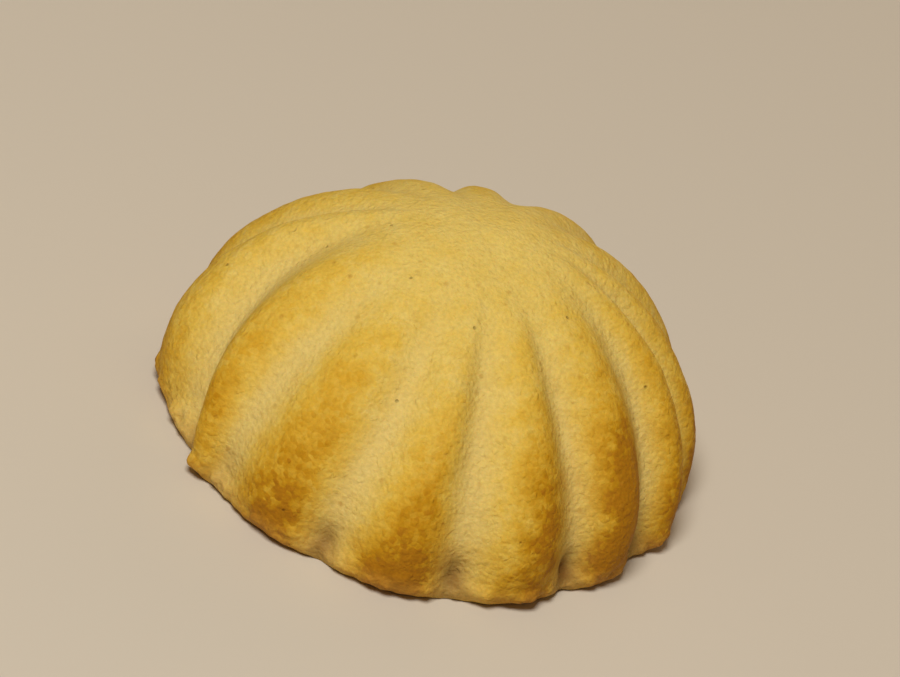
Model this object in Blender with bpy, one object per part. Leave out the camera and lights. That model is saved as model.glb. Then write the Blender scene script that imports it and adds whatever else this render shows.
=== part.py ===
# Maamoul cookie: a small filled shortbread, pressed in a fluted dome mould and baked.
# It is one solid piece. It stands on its flat base, with +Z up and the origin in the
# middle of the base.

import math

import bmesh
import bpy

# Driving dimensions, in metres
DIAMETER = 0.0492          # of the plain dome at its base, before it draws in to the foot
HEIGHT = 0.0226            # from the flat base to the top of the dome
FLUTE_DEPTH = 0.0018       # depth of a plain groove below the crests beside it
WAIST = 0.0010             # how far the wall draws in from the bulge down to the base
WAIST_HEIGHT = 0.0085      # height at which it begins to draw in
FOOT_TUCK = 0.0009         # how far the foot rounds in under that
FOOT_HEIGHT = 0.0008       # height over which it rounds in
UNEVENNESS = 0.00020       # slow swell and sag of the hand-pressed dough
SHOULDER = 0.0010          # how far one shoulder of the dome stands out beyond the rest
SHOULDER_SIDE = 26.0       # direction of that shoulder, in degrees from +X
SHOULDER_RISE = 2.0        # 1 puts the shoulder half way up, a higher value further up
LEAN = (-0.0004, 0.0006)   # how far the top sits off the middle, along X and Y

# Direction of each groove at its foot and where it meets the crown, in degrees
# anticlockwise from +X, seen from above, and its depth as a share of the plain one
GROOVES = (
    (20, 26, 1.0), (49, 50, 0.9), (79, 79, 1.05), (109, 108, 0.95), (139, 134, 1.0),
    (172, 162, 0.85), (214, 184, 1.25), (229, 228, 0.85), (257, 264.5, 0.95), (287.5, 288, 1.0),
    (317, 314.5, 1.1), (339, 352.5, 1.2), (358, 371, 1.0),
)
SLANT_START = 0.07         # a slanting groove turns between these fractions of the way up
SLANT_END = 0.82

# Shape of the dome: 2 and 2 give half an ellipse, a lower crown value a more pointed top
SIDE_POWER = 2.2
CROWN_POWER = 1.6

# Shape of a flute across its width: a round lobe with a narrow crease between lobes
LOBE_SHARE = 0.65          # share of the depth that is in the round of the lobe
LOBE_POWER = 2.2
CREASE_POWER = 6
FADE_START = 0.12          # flutes begin at this fraction of the dome's radius
FADE_END = 0.85            # and are at full depth from here outwards
RIM_SHARE = 0.35           # share of the depth that is left at the foot
RIM_FADE = 0.18            # fraction of the height over which it shrinks to that

# Mesh divisions
COLUMNS_PER_LOBE = 8
ROWS = 26
ROW_POWER = 1.3            # above 1, rows crowd towards the foot

DOUGH_COLOUR = (0.584, 0.361, 0.072, 1.0)
DOUGH_ROUGHNESS = 0.62


def clear_scene():
    for obj in list(bpy.data.objects):
        bpy.data.objects.remove(obj, do_unlink=True)


def smooth_step(low, high, value):
    x = min(max((value - low) / (high - low), 0.0), 1.0)
    return x * x * (3.0 - 2.0 * x)


def dome_section(t):
    # radius and height of the plain dome, from t = 0 on the base to t = 1 at the top
    rise = math.sin(0.5 * math.pi * t ** ROW_POWER)
    height = HEIGHT * rise
    fullness = (1.0 - rise ** SIDE_POWER) ** (1.0 / CROWN_POWER)
    waist = WAIST * max(1.0 - height / WAIST_HEIGHT, 0.0) ** 2
    foot = FOOT_TUCK * math.exp(-height / FOOT_HEIGHT)
    return max(0.5 * DIAMETER * fullness - waist - foot, 0.0), height


def section_normal(t):
    # unit normal of the dome's section, as its radial and vertical parts
    step = 0.001
    r0, z0 = dome_section(max(t - step, 0.0))
    r1, z1 = dome_section(min(t + step, 1.0))
    length = math.hypot(r1 - r0, z1 - z0)
    return (z1 - z0) / length, (r0 - r1) / length


def groove_angle(groove, t):
    foot, crown, _ = GROOVES[groove % len(GROOVES)]
    return foot + (crown - foot) * smooth_step(SLANT_START, SLANT_END, t)


def lobe_angle(column, t):
    # direction of a column of points: grooves fall on columns, lobes between them differ
    lobe, step = divmod(column, COLUMNS_PER_LOBE)
    start = groove_angle(lobe, t)
    width = (groove_angle(lobe + 1, t) - start) % 360
    return math.radians(start + width * step / COLUMNS_PER_LOBE)


def flute_cut(column):
    # 1 in the bottom of a plain groove, 0 on the crest of a lobe
    lobe, step = divmod(column, COLUMNS_PER_LOBE)
    across = step / COLUMNS_PER_LOBE
    lobe_round = abs(2.0 * across - 1.0) ** LOBE_POWER
    crease = abs(math.cos(math.pi * across)) ** CREASE_POWER
    before = GROOVES[lobe][2]
    after = GROOVES[(lobe + 1) % len(GROOVES)][2]
    share = before * (1.0 - across) + after * across
    return share * (LOBE_SHARE * lobe_round + (1.0 - LOBE_SHARE) * crease)


def groove_depth(radius, height):
    # depth of the flutes at one level: none on the crown, less again at the foot
    outward = smooth_step(FADE_START, FADE_END, 2.0 * radius / DIAMETER)
    upward = RIM_SHARE + (1.0 - RIM_SHARE) * smooth_step(0.0, RIM_FADE, height / HEIGHT)
    return FLUTE_DEPTH * outward * upward


def dough_swell(angle, t):
    # slow waves round and up the dome, so that no two lobes stand out alike, and one
    # shoulder that stands fuller than the rest
    round_wave = math.sin(2.0 * angle + 0.6) + 0.7 * math.sin(5.0 * angle + 2.1)
    up_wave = math.sin(3.0 * angle - 5.0 * t)
    facing = max(math.cos(angle - math.radians(SHOULDER_SIDE)), 0.0)
    shoulder = SHOULDER * facing ** 2 * math.sin(math.pi * t ** SHOULDER_RISE)
    return UNEVENNESS * (round_wave + up_wave) * (1.0 - t) + shoulder


def dough_point(column, row):
    # the flutes cut straight in below the bulge, where the wall leans outwards
    t = row / ROWS
    radius, height = dome_section(t)
    out, up = section_normal(t)
    angle = lobe_angle(column, t)
    offset = dough_swell(angle, t) - groove_depth(radius, height) * flute_cut(column)
    radius += offset * out
    height += offset * max(up, 0.0)
    x = radius * math.cos(angle) + LEAN[0] * height / HEIGHT
    y = radius * math.sin(angle) + LEAN[1] * height / HEIGHT
    return x, y, height


def make_dough_material():
    material = bpy.data.materials.new("baked_dough")
    material.use_nodes = True
    shader = material.node_tree.nodes["Principled BSDF"]
    shader.inputs["Base Color"].default_value = DOUGH_COLOUR
    shader.inputs["Roughness"].default_value = DOUGH_ROUGHNESS
    shader.inputs["Metallic"].default_value = 0.0
    return material


def half_sphere(bm, columns, rows):
    # the upper half of a sphere of unit radius, closed by one flat face underneath
    bmesh.ops.create_uvsphere(bm, u_segments=columns, v_segments=2 * rows, radius=1.0)
    half_row = math.sin(0.25 * math.pi / rows)
    below = [v for v in bm.verts if v.co.z < -half_row]
    bmesh.ops.delete(bm, geom=below, context="VERTS")
    rim = [e for e in bm.edges if e.is_boundary]
    bmesh.ops.contextual_create(bm, geom=rim)


def make_cookie(collection):
    columns = COLUMNS_PER_LOBE * len(GROOVES)
    bm = bmesh.new()
    half_sphere(bm, columns, ROWS)
    for vert in bm.verts:
        latitude = math.asin(min(max(vert.co.z, 0.0), 1.0))
        longitude = math.atan2(vert.co.y, vert.co.x) % (2.0 * math.pi)
        row = round(ROWS * latitude / (0.5 * math.pi))
        column = round(columns * longitude / (2.0 * math.pi)) % columns
        vert.co = dough_point(column, row)
    bmesh.ops.recalc_face_normals(bm, faces=bm.faces)
    base = max(bm.faces, key=lambda face: len(face.verts))
    for face in bm.faces:
        face.smooth = face is not base

    mesh = bpy.data.meshes.new("maamoul_cookie")
    bm.to_mesh(mesh)
    bm.free()
    mesh.materials.append(make_dough_material())
    cookie = bpy.data.objects.new("maamoul_cookie", mesh)
    collection.objects.link(cookie)
    return cookie


def main():
    clear_scene()
    collection = bpy.data.collections.new("maamoul")
    bpy.context.scene.collection.children.link(collection)
    make_cookie(collection)


main()
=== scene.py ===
import math

import bpy
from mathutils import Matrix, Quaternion, Vector, noise


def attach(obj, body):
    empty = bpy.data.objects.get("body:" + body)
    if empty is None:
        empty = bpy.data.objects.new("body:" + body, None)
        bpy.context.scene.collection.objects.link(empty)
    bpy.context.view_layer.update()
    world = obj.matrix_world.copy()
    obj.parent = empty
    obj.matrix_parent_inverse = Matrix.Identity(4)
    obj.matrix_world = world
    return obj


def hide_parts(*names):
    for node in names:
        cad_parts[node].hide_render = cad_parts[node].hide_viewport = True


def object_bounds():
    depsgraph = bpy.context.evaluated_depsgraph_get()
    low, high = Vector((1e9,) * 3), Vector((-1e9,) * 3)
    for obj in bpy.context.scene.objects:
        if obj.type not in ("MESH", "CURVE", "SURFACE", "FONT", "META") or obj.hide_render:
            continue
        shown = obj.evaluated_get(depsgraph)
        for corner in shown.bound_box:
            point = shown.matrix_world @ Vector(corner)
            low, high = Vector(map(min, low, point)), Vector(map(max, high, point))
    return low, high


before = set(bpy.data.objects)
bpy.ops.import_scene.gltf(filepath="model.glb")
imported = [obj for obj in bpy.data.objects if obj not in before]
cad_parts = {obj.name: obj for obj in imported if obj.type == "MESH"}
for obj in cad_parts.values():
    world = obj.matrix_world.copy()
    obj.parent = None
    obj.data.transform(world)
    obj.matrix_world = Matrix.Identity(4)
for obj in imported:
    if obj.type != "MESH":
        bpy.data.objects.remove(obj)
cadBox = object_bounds()
print("frame loaded")


def hexToLinear(text):
    # sRGB hex, as a colour picker shows it, to the linear values a shader wants
    linear = []
    for i in (0, 2, 4):
        c = int(text[i:i + 2], 16) / 255
        linear.append(c / 12.92 if c <= 0.04045 else ((c + 0.055) / 1.055) ** 2.4)
    return (*linear, 1.0)


def perMetre(millimetres):
    # texture scale for a pattern whose features are about this many millimetres
    return 1000.0 / millimetres


def smoothStep(low, high, value):
    # 0 at low, 1 at high, whichever of the two is the larger
    x = min(max((value - low) / (high - low), 0.0), 1.0)
    return x * x * (3.0 - 2.0 * x)


def hill(value, centre, reach):
    return math.exp(-((value - centre) / reach) ** 2)


def turnFrom(angle, direction):
    # degrees from a direction round to this angle, the shorter way
    return (math.degrees(angle) - direction + 180.0) % 360.0 - 180.0


def addNode(tree, kind, settings=None, links=None):
    # settings: inputs by name or number, or properties of the node; links: input -> output socket
    node = tree.nodes.new(kind)
    for key, value in (settings or {}).items():
        if isinstance(key, int) or key in node.inputs:
            node.inputs[key].default_value = value
        else:
            setattr(node, key, value)
    for key, socket in (links or {}).items():
        tree.links.new(socket, node.inputs[key])
    return node


def deselectAll():
    if bpy.context.object and bpy.context.object.mode != "OBJECT":
        bpy.ops.object.mode_set(mode="OBJECT")
    bpy.ops.object.select_all(action="DESELECT")


# lengths in metres, directions in degrees from +X and anticlockwise from above; t runs from 0 at
# the foot to 1 at the top of the dome
cookie = {
    "width": 0.0492,            # plain dome, before the waist and the foot draw in
    "height": 0.0226,
    "sidePower": 2.2,
    "crownPower": 1.6,          # below 2: slightly pointed crown
    "waist": 0.0010,            # how far the wall draws in below the bulge
    "waistHeight": 0.0085,
    "footTuck": 0.0009,
    "footHeight": 0.0008,
    "lean": (-0.0004, 0.0006),  # how far the top sits off the middle
    "shoulder": 0.0010,         # one shoulder stands fuller
    "shoulderSide": 26.0,
    "shoulderRise": 2.0,
    "cadRowPower": 1.3,         # the CAD part spaces its rows so, and places its shoulder by them
    "swell": 0.0002,            # slow waves left by the hands
    "swellWaves": (             # each: waves round, turn with t, phase, share
        (2.0, 0.0, 0.6, 1.0), (5.0, 0.0, 2.1, 0.7), (3.0, -5.0, 0.0, 1.0),
    ),

    # flutes
    "fluteDepth": 0.0018,
    "fluteSharpness": 1.8,      # higher: rounder lobes with narrower valleys between
    "fadeStart": 0.20,          # of the radius, where the flutes begin below the crown
    "fadeEnd": 0.88,
    "rimShare": 0.35,           # of their depth, left at the foot
    "rimFade": 0.18,
    "slantStart": 0.05,         # a slanting groove turns between these
    "slantEnd": 0.8,
    "wander": 0.7,              # degrees a groove strays from its line
    "wanderWaves": 5.0,
    "wanderStep": 2.4,          # no two grooves stray alike
    # each groove: direction at the foot and at the crown, depth, how broad and soft its valley
    # is, and how strong its dimple
    "grooves": (
        (20, 26, 1.0, 1.0, 0.6), (49, 50, 0.9, 1.1, 0.4), (79, 79, 1.05, 1.0, 0.7),
        (109, 108, 0.95, 1.2, 0.5), (139, 134, 1.0, 1.0, 0.8), (172, 162, 0.85, 1.2, 0.3),
        (214, 184, 1.5, 1.9, 0.6), (229, 228, 0.85, 1.3, 0.3), (257, 264.5, 0.95, 1.1, 1.0),
        (287.5, 288, 1.0, 1.25, 1.1), (317, 314.5, 1.25, 1.35, 1.3), (339, 352.5, 1.3, 1.6, 0.9),
        (358, 371, 1.0, 1.0, 0.5),
    ),

    # dimple where a groove ends above the foot; the same mask paints shade into the colour there
    "pitDepth": 0.00075,
    "pitHeight": 0.0020,
    "pitSpread": 0.0002,        # some sit a little higher than others
    "pitStep": 2.9,
    "pitTall": 0.0018,
    "pitWide": 0.0012,

    # dough squeezed out under the mould's edge: a lip with spurs, and crumbs
    "lip": 0.00030,
    "lipHeight": 0.0011,
    "lipReach": 0.0008,
    "lipWaves": (9.0, 24.0),    # broad and fine unevenness round the foot
    "lipSeed": 4.0,
    "lipFine": 0.6,             # share of the fine unevenness
    "lipMean": 0.75,
    "lipUneven": 1.1,
    "lipMost": 1.4,
    "lipRise": 0.5,             # how far the unevenness lifts the lip too
    "spurOut": 0.0004,
    "spurWide": 2.2,            # degrees
    "spurs": (                  # each: direction, size
        (223, 0.5), (264, 0.9), (283, 0.5), (318, 0.7), (352, 0.4), (61, 0.8), (128, 0.6),
    ),
    "crumble": 0.00042,
    "crumbleSize": 0.0010,
    "crumbleHeight": 0.0010,
    "crumbleReach": 0.0014,

    # browning: 0 is unbaked and 1 is the darkest brown; part of it, on the lobe at 317–339 degrees and in
    # some of the spots below, is painted shade
    "warmth": 0.04,             # all over
    "warmthDown": 0.20,         # more of it with the way down from the top
    "warmthFoot": 0.32,         # and near the foot, between these
    "warmthFrom": 0.36,
    "warmthFull": 0.05,
    "crestFull": 0.12,          # below this a crest is as brown as it gets
    "lowFrom": 0.28,            # the foot's share of a crest's brown sets in between these
    "lowFull": 0.08,
    "valleySpared": 0.8,        # how much of its crest's brown a groove is spared
    "valleyCooler": 0.5,        # and how much of the warmth
    "valleyPower": 3,           # higher: a narrower pale line in the groove
    "footMark": (0.0030, 0.0008),       # heights between which the tan of the foot sets in
    # each lobe, from the one after the first groove: where its crest stands across it, how brown
    # it baked, where and over how wide a share of it, how high up the browning starts, and how
    # much of it is left at the foot
    "lobes": (
        (0.53, 0.85, 0.55, 0.38, 0.86, 0.9), (0.50, 0.75, 0.50, 0.37, 0.80, 0.9),
        (0.55, 0.80, 0.55, 0.38, 0.88, 0.8), (0.48, 0.75, 0.46, 0.37, 0.80, 0.9),
        (0.52, 0.62, 0.55, 0.38, 0.85, 0.8), (0.38, 0.42, 0.34, 0.36, 0.78, 0.8),
        (0.55, 0.62, 0.54, 0.38, 0.92, 0.3), (0.53, 0.80, 0.59, 0.38, 0.84, 1.0),
        (0.55, 0.78, 0.61, 0.28, 0.78, 1.3), (0.53, 0.92, 0.69, 0.32, 0.88, 0.8),
        # the first lobe on the next line, from 317 to 339 degrees, has its brown raised: partly baked brown,
        # partly painted shade
        (0.47, 1.50, 0.71, 0.54, 0.88, 0.95), (0.52, 0.95, 0.48, 0.42, 0.86, 1.2),
        (0.52, 0.90, 0.50, 0.38, 0.84, 1.0),
    ),
    # single darker spots: direction, t, strength, radius; those at 284, 309, 324 and 331 degrees are painted
    # shade, the others scorches
    "scorchesAndShade": (
        (324, 0.15, 0.6, 0.0016), (331, 0.38, 0.5, 0.0040), (309, 0.34, 0.4, 0.0028),
        (284, 0.17, 0.3, 0.0021), (247, 0.17, 0.3, 0.0020), (61, 0.22, 0.4, 0.0022),
        (122, 0.3, 0.3, 0.0028),
    ),
    "sideLength": 0.037,        # up the side of the dome, from t = 0 to 1

    # underside: very slightly hollow and rough
    "underHollow": 0.0002,
    "underRough": 0.00010,
    "underGrain": ((700.0, 0.5), (1900.0, 0.25)),       # each: waves to the metre, share
    "underRim": 0.9,            # of the way out, where its flat rim begins

    # surface: size and depth of each layer of unevenness, and its detail
    "layers": (
        ("dents", 0.0055, 0.00040, 2), ("lumps", 0.0019, 0.00015, 2), ("grain", 0.0006, 0.00006, 1),
    ),
    "layerFade": 0.0012,        # they start this high, so that the base stays flat

    # mesh
    "columnsPerLobe": 38,
    "rows": 150,
    "rowPower": 1.15,           # above 1: rows crowd towards the foot
    "underRings": 14,
}
markNames = ("toastAndShade", "groove", "pitAndShade", "foot", "under")    # what the material reads at each vertex


def domeSection(t):
    c = cookie
    rise = math.sin(0.5 * math.pi * t ** c["rowPower"])
    height = c["height"] * rise
    fullness = (1.0 - rise ** c["sidePower"]) ** (1.0 / c["crownPower"])
    waist = c["waist"] * max(1.0 - height / c["waistHeight"], 0.0) ** 2
    foot = c["footTuck"] * math.exp(-height / c["footHeight"])
    return max(0.5 * c["width"] * fullness - waist - foot, 0.0), height


def sectionNormal(t):
    step = 0.001
    r0, z0 = domeSection(max(t - step, 0.0))
    r1, z1 = domeSection(min(t + step, 1.0))
    length = math.hypot(r1 - r0, z1 - z0)
    return (z1 - z0) / length, (r0 - r1) / length


def grooveAngle(groove, t):
    # degrees; a groove slants between foot and crown, and is never quite straight
    c = cookie
    groove %= len(c["grooves"])
    foot, crown = c["grooves"][groove][:2]
    slant = smoothStep(c["slantStart"], c["slantEnd"], t)
    wander = c["wander"] * math.sin(c["wanderWaves"] * t + c["wanderStep"] * groove)
    return foot + (crown - foot) * slant + wander


def fluteCut(across, breadth, crest):
    # 1 in the bottom of a groove, 0 on the crest
    v = across ** (math.log(0.5) / math.log(crest))
    return (math.cos(math.pi * v) ** 2) ** (cookie["fluteSharpness"] / breadth)


def dimple(lobe, across, width, radius, height):
    # 1 in the middle of a full dimple, near the lower end of the nearer groove
    c = cookie
    nearest = (lobe if across < 0.5 else lobe + 1) % len(c["grooves"])
    size = c["grooves"][nearest][4]
    fromGroove = min(across, 1.0 - across) * math.radians(width) * radius
    middle = c["pitHeight"] + c["pitSpread"] * math.sin(c["pitStep"] * nearest)
    return size * hill(height, middle, c["pitTall"]) * hill(fromGroove, 0.0, c["pitWide"])


def handSwell(angle, t):
    # slow waves and the full shoulder, as in the CAD part
    c = cookie
    waves = sum(share * math.sin(turns * angle + climb * t + phase)
                for turns, climb, phase, share in c["swellWaves"])
    facing = max(math.cos(angle - math.radians(c["shoulderSide"])), 0.0)
    cadT = t ** (c["rowPower"] / c["cadRowPower"])
    shoulder = c["shoulder"] * facing ** 2 * math.sin(math.pi * cadT ** c["shoulderRise"])
    return c["swell"] * waves * (1.0 - t) + shoulder


def raggedLip(side, angle, radius, height):
    c = cookie
    broad, fine = c["lipWaves"]
    ragged = noise.noise(side * broad + Vector((0.0, 0.0, c["lipSeed"])))
    ragged += c["lipFine"] * noise.noise(side * fine)
    lip = c["lip"] * min(c["lipMean"] + c["lipUneven"] * ragged, c["lipMost"])
    for direction, spur in c["spurs"]:
        lip += c["spurOut"] * spur * hill(turnFrom(angle, direction), 0.0, c["spurWide"])
    lip *= hill(height, c["lipHeight"] * (1.0 + c["lipRise"] * ragged), c["lipReach"])
    spot = Vector((radius * side.x, radius * side.y, height)) / c["crumbleSize"]
    crumbs = c["crumble"] * noise.noise(spot) * hill(height, c["crumbleHeight"], c["crumbleReach"])
    return lip + crumbs


def browningAndShade(lobe, across, angle, radius, t, outward, cut):
    # crests brown from the foot upwards, pressed grooves stay pale; darker spots are added, some of them
    # painted shade
    c = cookie
    strength, centre, reach, top, low = c["lobes"][lobe][1:]
    foot = 1.0 - (1.0 - low) * smoothStep(c["lowFrom"], c["lowFull"], t)
    climb = smoothStep(top, c["crestFull"], t) * foot
    crest = strength * hill(across, centre, reach) * climb * (1.0 - c["valleySpared"] * cut)
    warmth = c["warmth"] + c["warmthDown"] * (1.0 - t)
    warmth += c["warmthFoot"] * smoothStep(c["warmthFrom"], c["warmthFull"], t)
    # darker spots: some are scorches, some painted shade
    scorchAndShade = 0.0
    for direction, way, darkness, size in c["scorchesAndShade"]:
        turn = math.radians(turnFrom(angle, direction))
        away = math.hypot(turn * radius, (t - way) * c["sideLength"])
        scorchAndShade += darkness * hill(away, 0.0, size)
    return crest + scorchAndShade + warmth * (1.0 - c["valleyCooler"] * outward * cut)


def doughPoint(column, row):
    # place of one vertex, and how browned, grooved, pitted and low on the foot it is
    c = cookie
    t = row / c["rows"]
    lobe, step = divmod(column, c["columnsPerLobe"])
    across = step / c["columnsPerLobe"]
    start = grooveAngle(lobe, t)
    width = (grooveAngle(lobe + 1, t) - start) % 360
    angle = math.radians(start + width * across)
    radius, height = domeSection(t)
    out, up = sectionNormal(t)
    side = Vector((math.cos(angle), math.sin(angle), 0.0))

    # the flutes fade out towards the crown, and partly towards the foot
    before = c["grooves"][lobe]
    after = c["grooves"][(lobe + 1) % len(c["grooves"])]
    depth, breadth = (before[k] * (1.0 - across) + after[k] * across for k in (2, 3))
    cut = fluteCut(across, breadth, c["lobes"][lobe][0])
    outward = smoothStep(c["fadeStart"], c["fadeEnd"], 2.0 * radius / c["width"])
    upward = c["rimShare"] + (1.0 - c["rimShare"]) * smoothStep(0.0, c["rimFade"], height / c["height"])
    pitAndShade = dimple(lobe, across, width, radius, height)
    marks = {
        "toastAndShade": browningAndShade(lobe, across, angle, radius, t, outward, cut),
        "groove": outward * cut ** c["valleyPower"],
        # the dimple mask also paints shade into the colour
        "pitAndShade": pitAndShade,
        "foot": 0.0,
    }

    offset = -c["fluteDepth"] * depth * outward * upward * cut
    offset -= c["pitDepth"] * pitAndShade
    offset += handSwell(angle, t)
    offset += raggedLip(side, angle, radius, height)
    radius += offset * out
    height += offset * max(up, 0.0)
    marks["foot"] = smoothStep(*c["footMark"], height)
    x = radius * side.x + c["lean"][0] * height / c["height"]
    y = radius * side.y + c["lean"][1] * height / c["height"]
    return (x, y, height), marks


def makeBlank():
    # half a sphere with a flat base that is cut into rings
    c = cookie
    columns = c["columnsPerLobe"] * len(c["grooves"])
    deselectAll()
    bpy.ops.mesh.primitive_uv_sphere_add(segments=columns, ring_count=2 * c["rows"], radius=1.0)
    obj = bpy.context.object
    obj.name = "baked_cookie"
    obj.data.name = "baked_cookie"
    bpy.ops.object.mode_set(mode="EDIT")
    bpy.ops.mesh.select_all(action="SELECT")
    bpy.ops.mesh.bisect(plane_co=(0, 0, 0), plane_no=(0, 0, 1), use_fill=True, clear_inner=True)
    bpy.ops.object.mode_set(mode="OBJECT")
    base = max(obj.data.polygons, key=lambda p: len(p.vertices)).index
    bpy.ops.object.mode_set(mode="EDIT")
    bpy.ops.mesh.select_mode(type="FACE")
    bpy.ops.mesh.select_all(action="DESELECT")
    bpy.ops.object.mode_set(mode="OBJECT")
    obj.data.polygons[base].select = True
    bpy.ops.object.mode_set(mode="EDIT")
    for _ in range(c["underRings"]):
        bpy.ops.mesh.inset(thickness=1.0 / (c["underRings"] + 1))
    bpy.ops.mesh.poke()
    bpy.ops.object.mode_set(mode="OBJECT")
    return obj


def undersidePoint(rim, across):
    # follows the foot's outline, and is very slightly hollow and rough
    c = cookie
    spot = Vector((rim[0] * across, rim[1] * across, 0.0))
    rough = 0.5 + sum(share * noise.noise(spot * waves) for waves, share in c["underGrain"])
    hollow = smoothStep(1.0, c["underRim"], across)
    return spot.x, spot.y, (c["underRough"] * rough + c["underHollow"] * (1.0 - across)) * hollow


def sculptDough(obj):
    # the mould's flutes and the baker's hands, pushed into the blank vertex by vertex
    c = cookie
    mesh = obj.data
    columns = c["columnsPerLobe"] * len(c["grooves"])
    values = {name: [0.0] * len(mesh.vertices) for name in markNames}
    relief = obj.vertex_groups.new(name="relief")
    level, edge = 0.0001, 0.999         # the blank's base lies below the one and inside the other
    for vert in mesh.vertices:
        x, y, z = vert.co
        across = math.hypot(x, y)
        column = round(columns * (math.atan2(y, x) % (2.0 * math.pi)) / (2.0 * math.pi)) % columns
        if z > level or across > edge:
            row = round(c["rows"] * math.asin(min(max(z, 0.0), 1.0)) / (0.5 * math.pi))
            vert.co, marks = doughPoint(column, row)
            relief.add([vert.index], smoothStep(0.0, c["layerFade"], vert.co.z), "REPLACE")
        else:
            rim, _ = doughPoint(column, 0)
            vert.co = undersidePoint(rim, across)
            marks = {"under": 1.0, "foot": 1.0}
        for name, value in marks.items():
            values[name][vert.index] = value
    for name, column in values.items():
        attribute = mesh.attributes.new(name, "FLOAT", "POINT")
        attribute.data.foreach_set("value", column)


def roughenDough(obj):
    # dents of a few millimetres, then lumps, then the grain of the semolina
    for name, size, strength, detail in cookie["layers"]:
        texture = bpy.data.textures.new(name, "CLOUDS")
        texture.noise_scale = size
        texture.noise_depth = detail
        texture.noise_basis = "ORIGINAL_PERLIN"
        modifier = obj.modifiers.new(name, "DISPLACE")
        modifier.texture = texture
        modifier.texture_coords = "LOCAL"
        modifier.strength = strength
        modifier.mid_level = 0.5
        modifier.vertex_group = "relief"
        deselectAll()
        obj.select_set(True)
        bpy.context.view_layer.objects.active = obj
        bpy.ops.object.modifier_apply(modifier=name)
    bpy.ops.object.shade_smooth()


# colours in sRGB hex, sizes of patterns in millimetres, and other lengths in metres
dough = {
    "pale": "DCC26A",           # crown and flanks
    "gold": "D8B448",
    "amber": "CEA12C",
    "toasted": "BC890F",        # crests near the foot
    "baked": "AB740C",          # the darkest brown, partly painted shade on the flank at 317–339 degrees
    "stops": (                  # each: how brown, colour
        (0.0, "pale"), (0.24, "gold"), (0.50, "amber"), (0.80, "toasted"), (1.0, "baked"),
    ),
    "groove": "D8C07C",
    # the foot's own tan, made browner to stand for the shade under the dome's bulge: partly painted shade
    "foot": "C2944A",
    # dark brown of the dimples: painted shade in them
    "pitAndShade": "86602A",
    "under": "C08C44",
    "cover": (                  # each: colour, how far it covers the browning
        ("groove", 0.5), ("foot", 0.4), ("pitAndShade", 0.8), ("under", 0.8),
    ),
    "blotch": 7.0,              # patches that browned more or less
    "blotchRange": (0.62, 0.98),
    "mottle": 2.3,
    "mottleSpan": (0.2, 0.8),
    "mottleRange": (-0.32, 0.32),
    "mottleAlone": 0.22,        # of the mottling, where nothing has browned
    "crumb": 0.5,               # one grain of semolina, a little coarser than real so that it shows
    "crumbRange": (-0.18, 0.18),
    "crumbRound": 0.3,          # softness of the edges between grains
    "jostle": 0.8,              # so that the grains don't lie in clean cells
    "jostleBy": 0.0004,
    "jostleDetail": 2.0,
    "grain": 0.34,
    "grainShade": (0.91, 1.07),
    "fleck": "A87422",          # single grains that caught the heat
    "fleckSize": 0.9,
    "fleckRare": 0.84,          # higher: fewer of them
    "fleckMost": 0.5,
    "fleckEdge": (0.36, 0.12),
    "pore": 3.2,                # from one pinhole to the next
    "poreEdge": (0.06, 0.02),
    "poreShade": -0.3,
    "poreDepth": -2.0,
    "detail": (("blotch", 3.0), ("mottle", 4.0), ("grain", 2.0)),   # of each noise pattern
    "noiseSpan": (0.3, 0.7),    # a noise pattern seldom leaves this range
    "roughness": (0.62, 0.78),
    "ior": 1.45,
    "specular": 0.18,           # dry, floury skin
    "subsurface": 0.2,
    "subsurfaceReach": (1.0, 0.55, 0.2),
    "subsurfaceScale": 0.0012,
    "bump": 0.7,
    "bumpHeight": 0.00014,
}


def fromTo(source, target):
    # settings that stretch one range to another
    return dict(zip(("From Min", "From Max", "To Min", "To Max"), (*source, *target)))


def addBrowning(tree, toastAndShade, patterns, each):
    # browning follows the crests, broken up by blotches, mottling and single grains
    patchy = addNode(tree, "ShaderNodeMapRange", fromTo(dough["noiseSpan"], dough["blotchRange"]),
                     {"Value": patterns["blotch"]}).outputs["Result"]
    freckled = addNode(tree, "ShaderNodeMapRange", fromTo(dough["mottleSpan"], dough["mottleRange"]),
                       {"Value": patterns["mottle"]}).outputs["Result"]
    speckled = addNode(tree, "ShaderNodeMapRange", fromTo((0.0, 1.0), dough["crumbRange"]),
                       {"Value": each["Red"]}).outputs["Result"]
    uneven = addNode(tree, "ShaderNodeMath", {"operation": "ADD"}, {0: patchy, 1: freckled}).outputs["Value"]
    uneven = addNode(tree, "ShaderNodeMath", {"operation": "ADD"}, {0: uneven, 1: speckled}).outputs["Value"]
    faint = addNode(tree, "ShaderNodeMath", {"operation": "MULTIPLY", 1: dough["mottleAlone"]},
                    {0: freckled}).outputs["Value"]
    browningAndShade = addNode(tree, "ShaderNodeMath", {"operation": "MULTIPLY_ADD"},
                       {0: toastAndShade, 1: uneven, 2: faint}).outputs["Value"]
    ramp = addNode(tree, "ShaderNodeValToRGB", {}, {"Fac": browningAndShade})
    elements = ramp.color_ramp.elements
    while len(elements) < len(dough["stops"]):
        elements.new(1.0)
    for element, (position, name) in zip(elements, dough["stops"]):
        element.position = position
        element.color = hexToLinear(dough[name])
    return ramp.outputs["Color"]


def addCovers(tree, colour, marks):
    # paler grooves, tan ragged foot partly darkened with painted shade, dimples darkened with painted shade,
    # browner underside
    for name, amount in dough["cover"]:
        share = addNode(tree, "ShaderNodeMath", {"operation": "MULTIPLY", 1: amount, "use_clamp": True},
                        {0: marks[name]}).outputs["Value"]
        colour = addNode(tree, "ShaderNodeMix", {"data_type": "RGBA", 7: hexToLinear(dough[name])},
                         {0: share, 6: colour}).outputs[2]
    return colour


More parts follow.
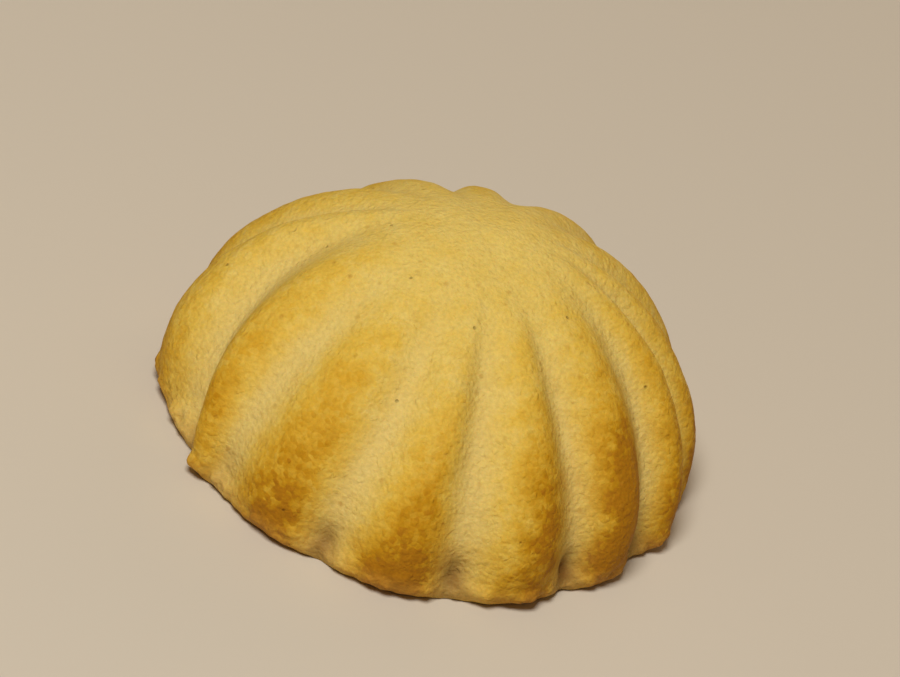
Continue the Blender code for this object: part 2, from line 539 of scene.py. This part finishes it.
def addFlecks(tree, colour, place):
    # single grains that caught the heat
    cells = addNode(tree, "ShaderNodeTexVoronoi", {"Scale": perMetre(dough["fleckSize"])}, {"Vector": place})
    lot = addNode(tree, "ShaderNodeSeparateColor", {}, {"Color": cells.outputs["Color"]}).outputs["Red"]
    chosen = addNode(tree, "ShaderNodeMapRange", fromTo((dough["fleckRare"], 1.0), (0.0, dough["fleckMost"])),
                     {"Value": lot}).outputs["Result"]
    dot = addNode(tree, "ShaderNodeMapRange", fromTo(dough["fleckEdge"], (0.0, 1.0)),
                  {"Value": cells.outputs["Distance"]}).outputs["Result"]
    fleck = addNode(tree, "ShaderNodeMath", {"operation": "MULTIPLY"}, {0: chosen, 1: dot}).outputs["Value"]
    return addNode(tree, "ShaderNodeMix", {"data_type": "RGBA", 7: hexToLinear(dough["fleck"])},
                   {0: fleck, 6: colour}).outputs[2]


def makeDough():
    # shortbread of fine semolina and butter, oven-baked: matt and sandy, golden to brown where it
    # stands proud, paler in the pressed grooves
    material = bpy.data.materials.new("bakedShortbread")
    material.use_nodes = True
    tree = material.node_tree
    shader = tree.nodes["Principled BSDF"]
    shader.inputs["IOR"].default_value = dough["ior"]
    shader.inputs["Specular IOR Level"].default_value = dough["specular"]
    shader.inputs["Subsurface Weight"].default_value = dough["subsurface"]
    shader.inputs["Subsurface Radius"].default_value = dough["subsurfaceReach"]
    shader.inputs["Subsurface Scale"].default_value = dough["subsurfaceScale"]

    place = addNode(tree, "ShaderNodeTexCoord").outputs["Object"]
    jostle = addNode(tree, "ShaderNodeTexNoise",
                     {"Scale": perMetre(dough["jostle"]), "Detail": dough["jostleDetail"]},
                     {"Vector": place}).outputs["Color"]
    jostled = addNode(tree, "ShaderNodeVectorMath",
                      {"operation": "MULTIPLY_ADD", 1: (dough["jostleBy"],) * 3},
                      {0: jostle, 2: place}).outputs["Vector"]
    marks = {}
    for name in markNames:
        marks[name] = addNode(tree, "ShaderNodeAttribute", {"attribute_name": name}).outputs["Fac"]
    patterns = {}
    for name, detail in dough["detail"]:
        patterns[name] = addNode(tree, "ShaderNodeTexNoise",
                                 {"Scale": perMetre(dough[name]), "Detail": detail},
                                 {"Vector": place}).outputs["Fac"]
    grains = addNode(tree, "ShaderNodeTexVoronoi",
                     {"Scale": perMetre(dough["crumb"]), "feature": "SMOOTH_F1",
                      "Smoothness": dough["crumbRound"]},
                     {"Vector": jostled})
    each = addNode(tree, "ShaderNodeSeparateColor", {}, {"Color": grains.outputs["Color"]}).outputs

    colour = addBrowning(tree, marks["toastAndShade"], patterns, each)
    colour = addCovers(tree, colour, marks)
    colour = addFlecks(tree, colour, place)

    # pinholes where the butter bubbled out, darkened with painted shade, and the uneven tone of the fine
    # grain
    wells = addNode(tree, "ShaderNodeTexVoronoi", {"Scale": perMetre(dough["pore"])}, {"Vector": jostled})
    hole = addNode(tree, "ShaderNodeMapRange",
                   {**fromTo(dough["poreEdge"], (0.0, 1.0)), "interpolation_type": "SMOOTHSTEP"},
                   {"Value": wells.outputs["Distance"]}).outputs["Result"]
    tint = addNode(tree, "ShaderNodeMapRange", fromTo(dough["noiseSpan"], dough["grainShade"]),
                   {"Value": patterns["grain"]}).outputs["Result"]
    tint = addNode(tree, "ShaderNodeMath", {"operation": "MULTIPLY_ADD", 1: dough["poreShade"]},
                   {0: hole, 2: tint}).outputs["Value"]
    colour = addNode(tree, "ShaderNodeVectorMath", {"operation": "SCALE"},
                     {0: colour, "Scale": tint}).outputs["Vector"]
    tree.links.new(colour, shader.inputs["Base Color"])

    rough = addNode(tree, "ShaderNodeMapRange", fromTo(dough["noiseSpan"], dough["roughness"]),
                    {"Value": patterns["mottle"]}).outputs["Result"]
    tree.links.new(rough, shader.inputs["Roughness"])

    # sandy bite of the semolina: each grain stands out by a height of its own, and pinholes sink in
    grainTop = addNode(tree, "ShaderNodeMath", {"operation": "SUBTRACT", 0: 1.0},
                       {1: grains.outputs["Distance"]}).outputs["Value"]
    sandy = addNode(tree, "ShaderNodeMath", {"operation": "MULTIPLY_ADD"},
                    {0: grainTop, 1: each["Green"], 2: patterns["grain"]}).outputs["Value"]
    height = addNode(tree, "ShaderNodeMath", {"operation": "MULTIPLY_ADD", 1: dough["poreDepth"]},
                     {0: hole, 2: sandy}).outputs["Value"]
    fine = addNode(tree, "ShaderNodeBump", {"Strength": dough["bump"], "Distance": dough["bumpHeight"]},
                   {"Height": height}).outputs["Normal"]
    tree.links.new(fine, shader.inputs["Normal"])
    return material


body = makeBlank()
print("blank made:", len(body.data.vertices), "vertices")
sculptDough(body)
print("flutes, dimples and lip pushed in")
roughenDough(body)
print("dough roughened")
body.data.materials.append(makeDough())
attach(body, "root")
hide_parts("maamoul_cookie")
print("cookie finished")


# lengths in metres, angles in degrees
studio = {
    "floor": "CCC3B4",
    "floorRoughness": 0.7,
    "floorSize": 6.0,
    "floorGap": 0.00005,        # the table lies this far below the base, so that the two don't mix
    "lamps": (
        {"name": "key", "from": (-0.14, -0.45, 0.87), "distance": 0.8, "size": 0.30, "power": 5.5,
         "colour": "FFFCF6"},
        {"name": "fill", "from": (0.38, 0.86, 0.28), "distance": 1.0, "size": 0.9, "power": 1.7,
         "colour": "FFDEB6"},
    ),
    "sky": "FFDAAA",
    "skyStrength": 0.15,
    "elevation": 34.6,
    "roll": 18.2,
    "distance": 0.63,
    "shownWidth": 0.079,        # how much of the table the picture shows across, at the cookie
    "sensor": 36.0,             # millimetres
}


def makeFloor():
    deselectAll()
    bpy.ops.mesh.primitive_plane_add(size=studio["floorSize"], location=(0.0, 0.0, -studio["floorGap"]))
    floor = bpy.context.object
    floor.name = "table"
    material = bpy.data.materials.new("paleMattLaminate")   # plain, so only its shade counts
    material.use_nodes = True
    shader = material.node_tree.nodes["Principled BSDF"]
    shader.inputs["Base Color"].default_value = hexToLinear(studio["floor"])
    shader.inputs["Roughness"].default_value = studio["floorRoughness"]
    floor.data.materials.append(material)


def addSoftLight(lamp):
    data = bpy.data.lights.new(lamp["name"], "AREA")
    data.shape = "DISK"
    data.size = lamp["size"]
    data.energy = lamp["power"]
    data.color = hexToLinear(lamp["colour"])[:3]
    light = bpy.data.objects.new(lamp["name"], data)
    light.location = Vector(lamp["from"]).normalized() * lamp["distance"]
    light.rotation_euler = (-light.location).to_track_quat("-Z", "Y").to_euler()
    bpy.context.scene.collection.objects.link(light)


def makeWorld():
    world = bpy.data.worlds.new("softRoom")
    world.use_nodes = True
    background = world.node_tree.nodes["Background"]
    background.inputs["Color"].default_value = hexToLinear(studio["sky"])
    background.inputs["Strength"].default_value = studio["skyStrength"]
    bpy.context.scene.world = world


def makeCamera():
    low, high = cadBox
    middle = (Vector(low) + Vector(high)) / 2
    elevation = math.radians(studio["elevation"])
    towards = Vector((0.0, -math.cos(elevation), math.sin(elevation)))
    data = bpy.data.cameras.new("camera")
    data.sensor_width = studio["sensor"]
    data.lens = studio["sensor"] * studio["distance"] / studio["shownWidth"]
    camera = bpy.data.objects.new("camera", data)
    camera.location = middle + towards * studio["distance"]
    look = (-towards).to_track_quat("-Z", "Y")
    tilt = Quaternion((0.0, 0.0, 1.0), math.radians(studio["roll"]))
    camera.rotation_euler = (look @ tilt).to_euler()
    bpy.context.scene.collection.objects.link(camera)
    bpy.context.scene.camera = camera


makeFloor()
for lamp in studio["lamps"]:
    addSoftLight(lamp)
makeWorld()
makeCamera()
bpy.context.scene.view_settings.view_transform = "Standard"
print("table, lights and camera set")
